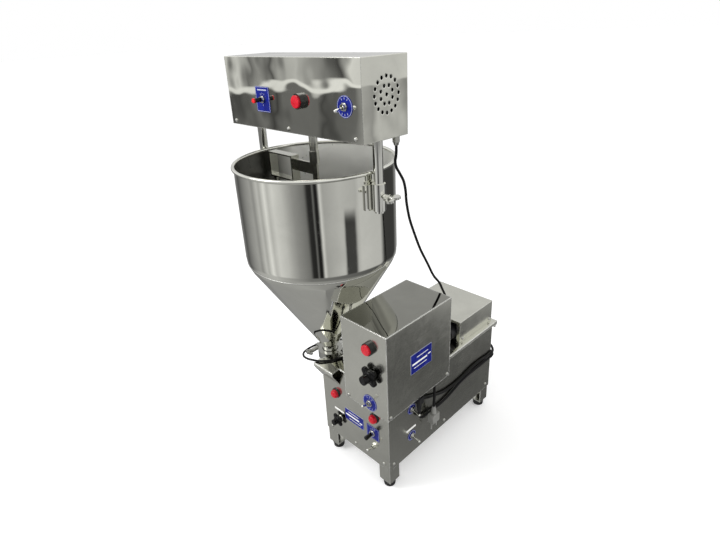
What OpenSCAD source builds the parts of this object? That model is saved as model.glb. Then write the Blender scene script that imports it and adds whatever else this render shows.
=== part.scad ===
// Cream filling machine: stainless cabinet, gear pump, stirred hopper and lifting agitator head.
// Millimetres, +Z up, origin on the floor under the middle of the machine.

/* [Cabinet] */
// Width of the cabinet
body_w = 222; // [216:1:230]
// Length of the cabinet, front to back
body_l = 426; // [420:1:440]
// Height of the lower edge of the cabinet panels
body_z = 63; // [58:1:70]
// Height of the table top
table_z = 280; // [280:1:282]
// Sheet thickness of the cabinet
sheet = 2; // [1.5:0.1:2.5]

/* [Control box] */
// Width of the control box
box_w = 136; // [130:1:138]
// Length of the control box, front to back
box_l = 224; // [218:1:228]
// Height of the control box top
box_z = 453; // [445:1:456]
// Height of the lower edge of the control box skirts
skirt_z = 233.5; // [228:0.5:236]

/* [Hopper] */
// Outer radius of the hopper cylinder
hopper_r = 175.5; // [170:0.5:175.5]
// Height of the hopper rim
rim_z = 772; // [768:1:776]
// Height at which the cone reaches the neck
neck_z = 292; // [290:1:294]
// Outer radius of the hopper neck
neck_r = 19; // [18:0.25:19]
// Wall of the hopper
wall = 2; // [1.5:0.1:2.5]

/* [Agitator head] */
// Width of the head
head_w = 430; // [420:1:440]
// Depth of the head
head_d = 120; // [116:1:124]
// Height of the head
head_h = 147; // [144:1:150]
// Height of the underside of the head
head_z = 840; // [836:1:842]
// Radius of the two head posts
post_r = 10; // [9.5:0.25:10]

/* [Pump] */
// Teeth on each pump gear
teeth = 12; // [12:1:12]
// Pitch radius of the pump gears
pitch_r = 20; // [19.8:0.1:20]
// Width of the pump gears
gear_w = 27.4; // [25:0.1:27.4]

/* [Cords] */
// Diameter of the mains lead
lead_d = 6.5; // [6:0.1:6.6]
// Diameter of the head cable
cable_d = 5.6; // [5:0.1:5.8]
// Diameter of the signal cable
signal_d = 5.2; // [5:0.1:5.4]

/* [Hidden] */
$fn = 64;
ox = -6;
oy = 2;
hx = -10;
hy = -106;
bx0 = 10;
bx1 = bx0 + body_w;
by0 = -153;
by1 = by0 + body_l;
kx0 = 247 - box_w;
kx1 = 247;
ky0 = -169;
ky1 = ky0 + box_l;
dx0 = hx - head_w / 2;
dx1 = hx + head_w / 2;
dy0 = hy - head_d / 2;
dy1 = hy + head_d / 2;
head_t = head_z + head_h;
post_off = 191;
slope = 0.6016;
gy = -28;
gz = 194;
gz2 = gz + 2 * pitch_r + 0.3;
mid_z = (gz + gz2) / 2;

// ---- places of the controls: x and z on a front face, y and z on a side face
h_lev_l = [-92, 902];
h_btn = [34, 906];
h_lev_r = [161, 904];
vent_c = [-103, 920];
k_btn = [198, 408];
k_knob = [203, 341];
k_lev = [192, 257];
b_lampl = [57, 200];
b_lampr = [188, 200];
b_knob = [64, 123];
b_levb = [181, 151];
b_levs = [184, 111];
s_lev1 = [-72, 200];
s_lev2 = [-72, 119];

// ---- screws: heads on the sheet faces
scr_front = [[30, 76], [118, 76], [214, 76]];
scr_right = [[-138, 76], [60, 76], [256, 76]];
scr_left = [[-40, 76], [110, 76], [256, 76]];
scr_rear = [[30, 76], [212, 76]];
scr_skirt_r = [[-160, 241], [46, 241]];
scr_skirt_f = [[122, 241], [238, 241]];
scr_cover = [[138, 289], [262, 289]];
scr_head = [-209, -12, 185];
bolt_at = [[gy - 30, gz - 24], [gy + 30, gz - 24], [gy - 30, gz2 + 24], [gy + 30, gz2 + 24]];
port_at = [[-20, mid_z - 26], [0, mid_z - 26], [-20, mid_z + 26], [0, mid_z + 26]];

// ---- helpers
module at() { translate([ox, oy, 0]) children(); }
module bx(a, b) { translate(a) cube(b - a); }
module cz(p, r, h) { translate(p) cylinder(r = r, h = h); }
module cxp(p, r, h) { translate(p) rotate([0, 90, 0]) cylinder(r = r, h = h); }
module cyp(p, r, h) { translate(p) rotate([-90, 0, 0]) cylinder(r = r, h = h); }
// faces: children are drawn along +Z and turned to stand out of that face
module front_at(p, y) { translate([p[0], y, p[1]]) rotate([90, 0, 0]) children(); }
module right_at(p, x) { translate([x, p[0], p[1]]) rotate([90, 0, 90]) children(); }
module left_at(p, x) { translate([x, p[0], p[1]]) rotate([90, 0, -90]) children(); }
module rear_at(p, y) { translate([p[0], y, p[1]]) rotate([90, 0, 180]) children(); }
module tube(ro, ri, h) { difference() { cylinder(r = ro, h = h); translate([0, 0, -1]) cylinder(r = ri, h = h + 2); } }
module dome_screw(depth) {
  rotate_extrude() polygon([[0, -depth], [2, -depth], [2, 0], [4.2, 0], [4.2, 0.9], [3.4, 2.0], [2, 2.7], [0, 3]]);
}
module hex_bolt(len, r, hr, hh) {
  translate([0, 0, -len]) cylinder(r = r, h = len);
  difference() {
    cylinder(r = hr, h = hh);
    translate([0, 0, hh - 2.2]) cylinder(r = hr * 0.55, h = 4, $fn = 6);
  }
}
// involute gear outline
function inv_a(a) = tan(a) - a * PI / 180;
function tooth_h(r, rb, rp) = (90 / teeth) - 0.011 * 180 / PI + (inv_a(25) - inv_a(r <= rb ? 0 : acos(rb / r))) * 180 / PI;
function gear_pts(rp) = let (rb = rp * cos(25), ra = rp * 1.15, rr = rp * 0.80,
    rad = [rr, rb, rb + (ra - rb) * 0.2, rb + (ra - rb) * 0.4, rb + (ra - rb) * 0.6, rb + (ra - rb) * 0.8, ra])
  [for (i = [0 : teeth - 1], s = [-1, 1], j = [0 : len(rad) - 1])
    let (k = s < 0 ? j : len(rad) - 1 - j, r = rad[k], a = i * 360 / teeth + s * tooth_h(r, rb, rp)) [r * cos(a), r * sin(a)]];
module gear(bore) {
  difference() {
    linear_extrude(height = gear_w) polygon(gear_pts(pitch_r));
    translate([0, 0, -1]) cylinder(r = bore, h = gear_w + 2);
  }
}
// cord sweep: smooth curve through hand-set points, swept as one tube
function cr(p0, p1, p2, p3, t) = 0.5 * (2 * p1 + (p2 - p0) * t + (2 * p0 - 5 * p1 + 4 * p2 - p3) * t * t + (3 * p1 - p0 - 3 * p2 + p3) * t * t * t);
function smooth(P, n) = let (m = len(P) - 1)
  concat([for (i = [0 : m - 1], j = [0 : n - 1]) cr(P[max(i - 1, 0)], P[i], P[i + 1], P[min(i + 2, m)], j / n)], [P[m]]);
function unit(v) = v / norm(v);
function tang(P) = [for (i = [0 : len(P) - 1]) unit(P[min(i + 1, len(P) - 1)] - P[max(i - 1, 0)])];
function side(n, t) = unit(n - (n * t) * t);
function norms(T, n0) = [for (i = 0, n = side(n0, T[0]); i < len(T); i = i + 1, n = i < len(T) ? side(n, T[i]) : n) n];
module cord(P, d, n0, n = 2, s = 10) {
  Q = smooth(P, n);
  T = tang(Q);
  N = norms(T, n0);
  m = len(Q);
  pts = [for (i = [0 : m - 1], k = [0 : s - 1]) Q[i] + d / 2 * (cos(k * 360 / s) * N[i] + sin(k * 360 / s) * cross(T[i], N[i]))];
  side_f = [for (i = [0 : m - 2], k = [0 : s - 1]) [i * s + k, (i + 1) * s + k, (i + 1) * s + (k + 1) % s, i * s + (k + 1) % s]];
  polyhedron(points = pts, faces = concat([[for (k = [0 : s - 1]) k]], side_f, [[for (k = [s - 1 : -1 : 0]) (m - 1) * s + k]]), convexity = 10);
}
// star grip knob with n lobes and a round nose, standing along +Z from its stem
module star_knob(ro, rl, depth, n, nr, nl) {
  translate([0, 0, -12]) cylinder(r = 4, h = 16);
  translate([0, 0, 2.4]) cylinder(r = ro * 0.6, h = depth - 2.4);
  for (i = [0 : n - 1]) rotate([0, 0, 45 + i * 360 / n]) translate([ro - rl, 0, 5]) cylinder(r = rl, h = depth - 7);
  translate([0, 0, depth - 1]) cylinder(r = nr, h = nl + 1);
}
// bat lever with its pivot ball on the origin
module bat_lever() {
  sphere(r = 3.5);
  rotate_extrude() polygon([[0, 0], [1.8, 0], [1.8, 10], [2.9, 19], [3.2, 21], [2.9, 22.6], [1.8, 23.7], [0, 24]]);
}
module black_lever() {
  sphere(r = 3.5);
  rotate_extrude() polygon([[0, 0], [1.9, 0], [2.2, 6.5], [4.4, 7], [5.2, 20], [5.2, 21.4], [4.6, 22.4], [0, 22.8]]);
}
// threaded switch bushing with hex nut, and the switch behind the panel
module switch_bushing(plate) {
  difference() {
    union() {
      translate([0, 0, -4]) cylinder(r = 6, h = 11.5);
      translate([0, 0, plate]) cylinder(r = 8.6, h = 2.6, $fn = 6);
      translate([-8, -13, -24]) cube([16, 26, 20]);
    }
    translate([0, 0, -2]) cylinder(r = 4.5, h = 20);
  }
}
module knob_bushing() {
  difference() {
    union() {
      translate([0, 0, -13]) cylinder(r = 6, h = 14.8);
      cylinder(r = 9, h = 1.8);
      translate([0, 0, -28]) cylinder(r = 11, h = 15);
    }
    translate([0, 0, -13.5]) cylinder(r = 4.06, h = 20);
  }
}
module button_bezel() {
  difference() {
    union() {
      cylinder(r = 15, h = 9);
      translate([0, 0, -26]) cylinder(r = 10.8, h = 27);
    }
    translate([0, 0, 0.6]) cylinder(r = 12.8, h = 20);
    translate([0, 0, -22]) cylinder(r = 5.3, h = 30);
  }
}
module button_cap() {
  translate([0, 0, -14]) cylinder(r = 5, h = 20);
  rotate_extrude() polygon([[0, 5.2], [12.4, 5.2], [12.4, 13], [11.6, 14], [0, 14.6]]);
}
module lamp() {
  translate([0, 0, -16]) cylinder(r = 7.6, h = 16);
  rotate_extrude() polygon([[0, 0], [13, 0], [13, 2.4], [12, 3.4], [10.8, 3.4], [10.8, 7], [10, 10], [7.6, 12.4], [4, 13.8], [0, 14.2]]);
}

// ---- cabinet
module body_shell() color("silver") at() difference() {
  union() {
    difference() {
      bx([bx0, by0, body_z], [bx1, by1, table_z - 2]);
      bx([bx0 + sheet, by0 + sheet, body_z - 1], [bx1 - sheet, by1 - sheet, table_z]);
    }
    bx([bx0, -143, 238], [40, -59, table_z - 2]);
  }
  bx([bx0 - 1, -141, 240], [38, -61, table_z + 1]);
  cxp([bx0 - 1, gy, gz], 12, 5);
  for (p = [b_levb, b_levs]) front_at(p, by0 + 5) cylinder(r = 6.2, h = 8);
  front_at(b_knob, by0 + 5) cylinder(r = 6.2, h = 8);
  for (p = [b_lampl, b_lampr]) front_at(p, by0 + 5) cylinder(r = 7.8, h = 8);
  for (p = [s_lev1, s_lev2]) right_at(p, bx1 - 5) cylinder(r = 6.2, h = 8);
  right_at([-56, 223], bx1 - 5) cylinder(r = 5.2, h = 8);
  right_at([-20, 244], bx1 - 5) cylinder(r = 2.2, h = 8);
  cyp([160.6, by1 - 5, 190], 2.2, 8);
  for (p = scr_front) front_at(p, by0 + 5) cylinder(r = 2.2, h = 8);
  for (p = scr_right) right_at(p, bx1 - 5) cylinder(r = 2.2, h = 8);
  for (p = scr_skirt_r) right_at(p, bx1 - 5) cylinder(r = 2.2, h = 8);
  for (p = scr_skirt_f) if (p[0] < bx1 - 5) front_at(p, by0 + 5) cylinder(r = 2.2, h = 8);
  for (p = scr_left) left_at(p, bx0 + 5) cylinder(r = 2.2, h = 8);
  for (p = scr_rear) rear_at(p, by1 - 5) cylinder(r = 2.2, h = 8);
  bx([k_lev[0] - 10, by0 - 1, k_lev[1] - 15], [k_lev[0] + 10, by0 + 5, k_lev[1] + 15]);
  // louvre slots low on the rear face
  for (i = [0 : 4]) bx([42 + i * 14, by1 - 5, 110], [48 + i * 14, by1 + 5, 190]);
}
module table_top() color("gainsboro") at() {
  difference() {
    bx([bx0, by0, table_z - 2], [bx1, by1, table_z]);
    bx([bx0 - 1, -141, table_z - 5], [38, -61, table_z + 5]);
    bx([150, -120, table_z - 5], [220, 30, table_z + 5]);
  }
  // flared lips: right, rear and the front left length
  translate([bx1, by1 + 9, 0]) rotate([90, 0, 0]) linear_extrude(height = body_l + 9)
    polygon([[0, table_z], [9, table_z - 0.6], [9, table_z - 9], [0, table_z - 18], [0, table_z - 15.8], [7.5, table_z - 8.3], [7.5, table_z - 2], [0, table_z - 2]]);
  translate([bx0, by1, 0]) rotate([90, 0, 90]) linear_extrude(height = body_w + 9)
    polygon([[0, table_z], [9, table_z - 0.6], [9, table_z - 9], [0, table_z - 18], [0, table_z - 15.8], [7.5, table_z - 8.3], [7.5, table_z - 2], [0, table_z - 2]]);
  translate([5, by0, 0]) rotate([90, 0, 90]) linear_extrude(height = 68)
    polygon([[0, table_z], [-22, table_z - 3], [-22, table_z - 12], [0, table_z - 48], [0, table_z - 45], [-20.5, table_z - 11.6], [-20.5, table_z - 4.5], [0, table_z - 2]]);
  translate([5, by0, 0]) rotate([90, 0, 90]) linear_extrude(height = 1.5)
    polygon([[0, table_z], [-22, table_z - 3], [-22, table_z - 12], [0, table_z - 48]]);
}
module base_plate() color("darkgray") at() {
  difference() {
    bx([bx0 + sheet, by0 + sheet, body_z], [bx1 - sheet, by1 - sheet, body_z + 3]);
    for (x = [bx0, bx1 - 38], y = [by0, by1 - 38]) bx([x, y, body_z - 5], [x + 38, y + 38, body_z + 10]);
    for (i = [0 : 4]) bx([70 + i * 22, 190, body_z - 5], [80 + i * 22, 250, body_z + 10]);
  }
  // drive bracket: two legs and a seat under the gearbox
  bx([88, -68, body_z + 3], [93, 12, 142]);
  bx([141, -68, body_z + 3], [146, 12, 142]);
  bx([84, -68, 142], [150, 12, 146]);
}
module corner_legs() color("silver") at() difference() {
  for (cx = [0, 1], cy = [0, 1])
    translate([cx == 0 ? bx0 + sheet : bx1 - sheet, cy == 0 ? by0 + sheet : by1 - sheet, 0])
      mirror([cx, 0, 0]) mirror([0, cy, 0]) difference() {
        bx([0, 0, 18], [34, 34, 140]);
        bx([2.5, 2.5, 21], [40, 40, 150]);
        cz([17, 17, 10], 3.3, 20);
      }
  for (p = scr_front) front_at(p, by0 + 8) cylinder(r = 2.2, h = 10);
  for (p = scr_right) right_at(p, bx1 - 8) cylinder(r = 2.2, h = 10);
  for (p = scr_left) left_at(p, bx0 + 8) cylinder(r = 2.2, h = 10);
  for (p = scr_rear) rear_at(p, by1 - 8) cylinder(r = 2.2, h = 10);
}
module rubber_feet() color("black") at() {
  for (x = [bx0 + sheet + 17, bx1 - sheet - 17], y = [by0 + sheet + 17, by1 - sheet - 17])
    translate([x, y, 0]) {
      rotate_extrude() polygon([[0, 0], [13.4, 0], [14.2, 1], [16, 17], [15.4, 18], [0, 18]]);
      cylinder(r = 3, h = 27);
    }
}
module panel_screws() color("lightgray") at() {
  for (p = scr_front) front_at(p, by0) dome_screw(7);
  for (p = scr_right) right_at(p, bx1) dome_screw(7);
  for (p = scr_left) left_at(p, bx0) dome_screw(7);
  for (p = scr_rear) rear_at(p, by1) dome_screw(7);
  for (p = scr_skirt_r) { right_at(p, kx1) dome_screw(20); right_at(p, bx1) tube(5, 2.2, 13.5); }
  for (p = scr_skirt_f) if (p[0] < bx1 - 5) { front_at(p, ky0) dome_screw(20); front_at(p, by0) tube(5, 2.2, 14.5); }
  for (p = scr_cover) right_at(p, 227) dome_screw(6);
}
module rear_cover() color("whitesmoke") at() difference() {
  bx([55, 125, table_z], [227, 273, 341]);
  bx([56.5, 126.5, table_z - 1], [225.5, 271.5, 339.5]);
  bx([66, 120, table_z - 1], [217, 130, 333]);
  for (p = scr_cover) right_at(p, 220) cylinder(r = 2.2, h = 12);
}
module control_box() color("silver") at() difference() {
  bx([kx0, ky0, skirt_z], [kx1, ky1, box_z]);
  bx([kx0 + 1.5, ky0 + 1.5, skirt_z - 5], [kx1 - 1.5, ky1 - 1.5, box_z - 1.5]);
  bx([kx0 - 1, by0, skirt_z - 5], [bx1, ky1 + 1, table_z]);
  bx([bx1 - 1, ky1 - 5, skirt_z - 5], [bx1 + 9.5, ky1 + 1, table_z + 0.3]);
  front_at(k_btn, ky0 + 5) cylinder(r = 11, h = 8);
  for (p = [k_knob, k_lev]) front_at(p, ky0 + 5) cylinder(r = 6.2, h = 8);
  for (p = scr_skirt_r) right_at(p, kx1 - 5) cylinder(r = 2.2, h = 8);
  for (p = scr_skirt_f) if (p[0] < bx1 - 5) front_at(p, ky0 + 5) cylinder(r = 2.2, h = 8);
  rear_at([203, 390], ky1 - 5) cylinder(r = 5.2, h = 8);
  for (p = [[-96, 290], [-44, 290]]) left_at(p, kx0 + 5) cylinder(r = 5.2, h = 8);
}
module drive_controller() color("dimgray") at() {
  bx([78, 142, table_z], [168, 250, table_z + 34]);
  for (i = [0 : 8]) bx([82 + i * 10, 146, table_z + 34], [85 + i * 10, 246, table_z + 48]);
  // run capacitor in its saddle
  cyp([199, 108, table_z + 24], 17, 110);
  bx([183, 132, table_z], [215, 147, table_z + 12]);
}

// ---- drive and pump
module gear_motor() color("slategray") at() difference() {
  union() {
    bx([84, -72, 146], [150, 16, 272]);
    cyp([117, 16, 232], 34, 130);
    cyp([117, 146, 232], 37, 34);
    cxp([80, gy, gz], 24, 4);
    for (i = [0 : 6]) translate([117, 30 + i * 16, 232]) rotate([-90, 0, 0]) cylinder(r = 36, h = 5);
  }
  cxp([70, gy, gz], 9.06, 46);
  for (i = [0 : 4]) bx([95 + i * 10, 176, 210], [99 + i * 10, 190, 254]);
}
module pump_block(x0, x1) { bx([x0, gy - 36, gz - 31], [x1, gy + 36, gz2 + 31]); }
module pump_housing() color("lightsteelblue") at() difference() {
  pump_block(-24, bx0);
  for (z = [gz, gz2]) cxp([-25, gy, z], pitch_r * 1.15 + 0.3, 29);
  cxp([0, gy, gz], 10, 20);
  cxp([0, gy, gz2], 6.02, 8.02);
  cyp([-10, gy - 40, mid_z], 12, 80);
  for (p = bolt_at) cxp([-30, p[0], p[1]], 3.2, 26);
  for (p = port_at) { cyp([p[0], gy - 37, p[1]], 3.2, 11); cyp([p[0], gy + 26, p[1]], 3.2, 11); }
}
module pump_cover() color("silver") at() {
  difference() {
    pump_block(-34, -24);
    cxp([-32.5, gy, gz], 10, 20);
    for (p = bolt_at) cxp([-40, p[0], p[1]], 3.2, 20);
  }
  // idler post, one piece with the cover
  cxp([-30, gy, gz2], 6, 37.8);
}
module pump_bolts() color("gray") at() {
  for (p = bolt_at) translate([-34, p[0], p[1]]) rotate([90, 0, -90]) hex_bolt(26, 3, 5.5, 6);
  for (p = port_at) {
    translate([p[0], gy - 42, p[1]]) rotate([90, 0, 0]) hex_bolt(15, 3, 4.6, 5);
    translate([p[0], gy + 42, p[1]]) rotate([-90, 0, 0]) hex_bolt(15, 3, 4.6, 5);
  }
}
module shaft_bushes() color("peru") at() {
  translate([4.4, gy, gz]) rotate([0, 90, 0]) tube(9.98, 7.06, 5.6);
  translate([-32.4, gy, gz]) rotate([0, 90, 0]) tube(9.98, 7.06, 8);
}
module drive_gear() color("darkgray") at() translate([-23.7, gy, gz]) rotate([0, 90, 0]) rotate([0, 0, 180]) gear(7.02);
module idler_gear() color("darkgray") at() translate([-23.7, gy, gz2]) rotate([0, 90, 0]) rotate([0, 0, 180 / teeth]) gear(6.06);
module pump_shaft() color("gray") at() cxp([-32, gy, gz], 7, 90);
module shaft_coupling() color("firebrick") at() difference() {
  union() {
    cxp([38, gy, gz], 17, 40);
    cxp([74, gy, gz], 9, 38);
  }
  cxp([30, gy, gz], 7.02, 29);
}
module inlet_elbow() color("silver") at() difference() {
  union() {
    translate([hx, -70, 250]) rotate([90, 0, 90]) rotate([0, 0, 180]) rotate_extrude(angle = 90) translate([36, 0]) circle(r = 19);
    bx([-29, -70, mid_z - 31], [9, -64, mid_z + 31]);
  }
  cz([hx, hy, 249.9], 16.5, 3);
  translate([hx, -70, 250]) rotate([90, 0, 90]) rotate([0, 0, 180]) rotate_extrude(angle = 90) translate([36, 0]) circle(r = 16.5);
  cyp([-10, -70.01, mid_z], 12, 20);
  for (p = port_at) cyp([p[0], -70.5, p[1]], 3.2, 10);
}
module outlet_pipe() color("silver") at() {
  difference() {
    bx([-29, 8, mid_z - 31], [9, 14, mid_z + 31]);
    cyp([-10, 7, mid_z], 12, 9);
    for (p = port_at) cyp([p[0], 5, p[1]], 3.2, 12);
  }
  translate([-10, 14, mid_z]) rotate([-90, 0, 0]) tube(15, 12, 4);
  translate([-10, 18, mid_z - 30]) rotate([90, 0, 90]) rotate_extrude(angle = 90) translate([30, 0]) difference() { circle(r = 15); circle(r = 12); }
  translate([-10, 48, 150]) tube(15, 12, mid_z - 180);
}
module outlet_nozzle() color("silver") at() translate([-10, 48, 0]) {
  rotate_extrude() polygon([[12, 150], [17, 150], [17, 146.2], [13.4, 146], [12.6, 138], [7, 100], [5, 100], [5, 112], [10.6, 140]]);
  difference() {
    translate([0, 0, 139]) rotate([0, 0, 30]) cylinder(r = 22.5, h = 22, $fn = 6);
    translate([0, 0, 138]) cylinder(r = 14, h = 30);
    translate([0, 0, 146]) cylinder(r = 17.2, h = 4.2);
    translate([0, 0, 149]) cylinder(r = 15.2, h = 30);
  }
}

// ---- hopper and its clamp
function cone_r(z) = neck_r + (z - neck_z) * slope;
fil = 70;
u_len = sqrt(1 + slope * slope);
fil_r = hopper_r - fil;
fil_z = neck_z + ((fil_r - neck_r) / u_len + fil) * u_len / slope;
fil_a = atan(slope);
function fil_pts(r) = [for (i = [0 : 8]) let (a = -fil_a * (1 - i / 8)) [fil_r + r * cos(a), fil_z + r * sin(a)]];
module hopper() color("silver") at() translate([hx, hy, 0]) {
  rotate_extrude($fn = 128) polygon(concat(
    [[16.5, neck_z], [neck_r, neck_z]],
    fil_pts(fil), [[hopper_r, rim_z], [hopper_r - wall, rim_z]],
    [for (i = [8 : -1 : 0]) fil_pts(fil - wall)[i]],
    [[16.5, neck_z + 1.2]]));
  // rolled rim, and the weld bead where cylinder and cone meet
  rotate_extrude($fn = 128) translate([hopper_r + 0.5, rim_z]) circle(r = 4, $fn = 32);
  rotate_extrude($fn = 128) translate([fil_r + fil * cos(14) - 0.4, fil_z - fil * sin(14)]) circle(r = 1.3, $fn = 24);
}
// clamp ferrules: one on the hopper, one on the pump inlet
module neck_ferrules() color("silver") at() translate([hx, hy, 0]) {
  rotate_extrude() polygon([[16.5, 270], [25.25, 270], [25.25, 272.5], [19.6, 275.5], [neck_r, 278], [neck_r, neck_z], [16.5, neck_z]]);
  rotate_extrude() polygon([[16.5, 250], [19, 250], [19, 260], [19.6, 262.5], [25.25, 265.5], [25.25, 268], [16.5, 268]]);
}
module clamp_gasket() color("white") at() translate([hx, hy, 268]) tube(25, 16.6, 2);
clamp_pts = [[25.5, 266], [25.5, 272], [20.6, 276], [20.6, 279.5], [31.5, 279.5], [31.5, 258.5], [20.6, 258.5], [20.6, 262]];
module clamp_half(z0, z1, lug_y) {
  difference() {
    union() {
      rotate_extrude(angle = 176) polygon(clamp_pts);
      bx([-46, -lug_y - 5, 262], [-28, -lug_y + 5, 276]);
      rotate([0, 0, -2]) translate([37, 0, z0]) cylinder(r = 6, h = z1 - z0);
      bx([29, 0.8, z0], [37, 6, z1]);
    }
    rotate([0, 0, -2]) translate([37, 0, 250]) cylinder(r = 3.3, h = 40);
    cyp([-37, -40, 269], 4, 80);
    cz([0, 0, 262], 25.4, 14);
  }
}
module clamp_ring() color("silver") at() translate([hx, hy, 0]) {
  rotate([0, 0, 2]) mirror([0, 0, 0]) clamp_half(269.2, 279, -9);
  mirror([0, 1, 0]) rotate([0, 0, 2]) clamp_half(259, 268.8, -9);
}
module clamp_bolt() color("gray") at() translate([hx, hy, 0]) {
  cyp([-37, -48, 269], 3.2, 62);
  cyp([-37, 13.3, 269], 6, 4);
  translate([-37, -33.5, 269]) rotate([-90, 0, 0]) cylinder(r = 5.6, h = 20, $fn = 32);
  cz([37, 0, 256], 3, 26);
}
module clamp_wing_nut() color("silver") at() translate([hx - 37, hy - 34, 269]) rotate([90, 0, 0]) difference() {
  union() {
    cylinder(r = 6.2, h = 9);
    for (s = [-1, 1]) translate([s * 7.5, 0, 7]) rotate([90, 0, 0]) translate([0, 0, -2]) cylinder(r = 4.6, h = 4);
    translate([-7.5, -2, 1.5]) cube([15, 4, 9]);
  }
  translate([0, 0, -1]) cylinder(r = 3.26, h = 30);
}

// ---- posts, head and agitator
module post_sleeves() color("silver") at() for (s = [0, 1])
  translate([hx, hy, 0]) mirror([s, 0, 0]) difference() {
    union() {
      cz([post_off, 0, 697], 13.5, 55);
      intersection() {
        translate([0, 0, 699]) difference() {
          cylinder(r = hopper_r + 4.5, h = 51, $fn = 128);
          translate([0, 0, -1]) cylinder(r = hopper_r + 0.02, h = 60, $fn = 128);
        }
        bx([150, -26, 690], [190, 26, 760]);
      }
      bx([hopper_r + 2.5, -7, 699], [post_off, 7, 750]);
    }
    cz([post_off, 0, 690], post_r + 0.08, 70);
    cxp([post_off, 0, 727], 3.3, 30);
  }
module posts() color("silver") at() for (s = [-1, 1]) cz([hx + s * post_off, hy, 692], post_r, head_z - 692);
module wing_screw() {
  cxp([post_r + 0.5, 0, 0], 3, 12);
  cxp([14, 0, 0], 5.5, 10);
  bx([20, -10, -2.5], [38, 10, 2.5]);
  for (y = [-9, 9]) translate([37, y, -2.5]) cylinder(r = 8.5, h = 5);
  cxp([22, 0, 0], 4.2, 14);
}
module wing_screw_right() color("silver") at() translate([hx + post_off, hy, 727]) rotate([8, 0, 0]) wing_screw();
module wing_screw_left() color("silver") at() translate([hx - post_off, hy, 727]) mirror([1, 0, 0]) rotate([8, 0, 0]) wing_screw();
module head_shell() color("silver") at() difference() {
  bx([dx0, dy0, head_z], [dx1, dy1, head_t]);
  bx([dx0 + 1.5, dy0 + 1.5, head_z - 1], [dx1 - 1.5, dy1 - 1.5, head_t - 1.5]);
  for (p = [h_lev_l, h_lev_r]) front_at(p, dy0 + 5) cylinder(r = 6.2, h = 8);
  front_at(h_btn, dy0 + 5) cylinder(r = 11, h = 8);
  for (x = scr_head) { front_at([x, 848], dy0 + 5) cylinder(r = 2.2, h = 8); rear_at([x, 848], dy1 - 5) cylinder(r = 2.2, h = 8); }
  right_at(vent_c, dx1 - 5) {
    cylinder(r = 3.6, h = 10);
    for (i = [0 : 7]) rotate([0, 0, i * 45 + 22.5]) translate([16.5, 0, 0]) cylinder(r = 3.6, h = 10);
    for (i = [0 : 15]) rotate([0, 0, i * 22.5]) translate([32, 0, 0]) cylinder(r = 3.6, h = 10);
  }
}
module head_base() color("gainsboro") at() difference() {
  union() {
    bx([dx0 + 1.5, dy0 + 1.5, head_z], [dx1 - 1.5, dy1 - 1.5, head_z + 3]);
    bx([dx0 + 1.5, dy0 + 1.5, head_z], [dx1 - 1.5, dy0 + 3.5, head_z + 18]);
    bx([dx0 + 1.5, dy1 - 3.5, head_z], [dx1 - 1.5, dy1 - 1.5, head_z + 18]);
  }
  cz([hx, hy, head_z - 5], 15.1, 20);
  cz([196, -70, head_z - 5], 5.2, 20);
  for (x = scr_head) { front_at([x, 848], dy0 + 8) cylinder(r = 2.2, h = 10); rear_at([x, 848], dy1 - 8) cylinder(r = 2.2, h = 10); }
}
module head_screws() color("lightgray") at() for (x = scr_head) {
  front_at([x, 848], dy0) dome_screw(7);
  rear_at([x, 848], dy1) dome_screw(7);
}
module agitator_motor() color("slategray") at() difference() {
  union() {
    bx([hx - 44, hy - 44, head_z + 3], [hx + 44, hy + 44, 888]);
    cz([hx, hy, 888], 36, 80);
    for (i = [0 : 5]) cz([hx, hy, 896 + i * 11], 39, 4);
    cz([hx, hy, 968], 20, 8);
  }
  cz([hx, hy, head_z], 9.56, 40);
}
module shaft_bearing() color("gray") at() translate([hx, hy, 0]) difference() {
  union() {
    cz([0, 0, head_z - 7], 26, 7);
    cz([0, 0, head_z], 15, 3);
  }
  cz([0, 0, head_z - 10], 9.56, 20);
}
module agitator_shaft() color("silver") at() cz([hx, hy, 774], 9.5, 104);
module agitator_coupling() color("silver") at() translate([hx, hy, 0]) difference() {
  cz([0, 0, 764.3], 11.2, 27.7);
  cz([0, 0, 773], 9.52, 30);
  cz([0, 0, 750], 7.02, 30);
}
module agitator_frame() color("silver") at() translate([hx, hy, 0]) {
  cz([0, 0, 330], 7, 442);
  difference() {
    union() {
      translate([0, 2.5, 0]) rotate([90, 0, 0]) linear_extrude(height = 5) difference() {
        polygon([[-159, 714], [-159, 575], [-148, 535], [-50, 372], [50, 372], [148, 535], [159, 575], [159, 690],
          [0, 690], [0, 764], [-73, 764], [-73, 714]]);
        // gap under the shaft arm, and the two large openings beside the shaft
        polygon([[-72, 738], [-72, 712], [-6, 712], [-6, 738]]);
        polygon([[-149, 712], [-149, 576], [-139, 539], [-44, 382], [-6, 382], [-6, 712]]);
        polygon([[149, 680], [149, 576], [139, 539], [44, 382], [6, 382], [6, 680]]);
      }
      // upper loop, bent from wide strip
      translate([0, 11, 0]) rotate([90, 0, 0]) linear_extrude(height = 22) difference() {
        polygon([[-159, 772], [-159, 712], [-71, 712], [-71, 772]]);
        polygon([[-155.5, 768.5], [-155.5, 715.5], [-74.5, 715.5], [-74.5, 768.5]]);
      }
    }
    cz([0, 0, 300], 7, 500);
  }
}
module head_bushings() color("silver") at() {
  for (p = [h_lev_l, h_lev_r]) front_at(p, dy0) switch_bushing(0.8);
  front_at(h_btn, dy0) button_bezel();
  // cable gland under the head
  translate([196, -70, head_z - 12]) difference() {
    union() {
      cylinder(r = 7.5, h = 12, $fn = 6);
      translate([0, 0, -6]) cylinder(r1 = 4.4, r2 = 6, h = 6);
      translate([0, 0, 12]) cylinder(r = 5, h = 6);
    }
    translate([0, 0, 10]) cylinder(r = 3, h = 20);
  }
}
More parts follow.
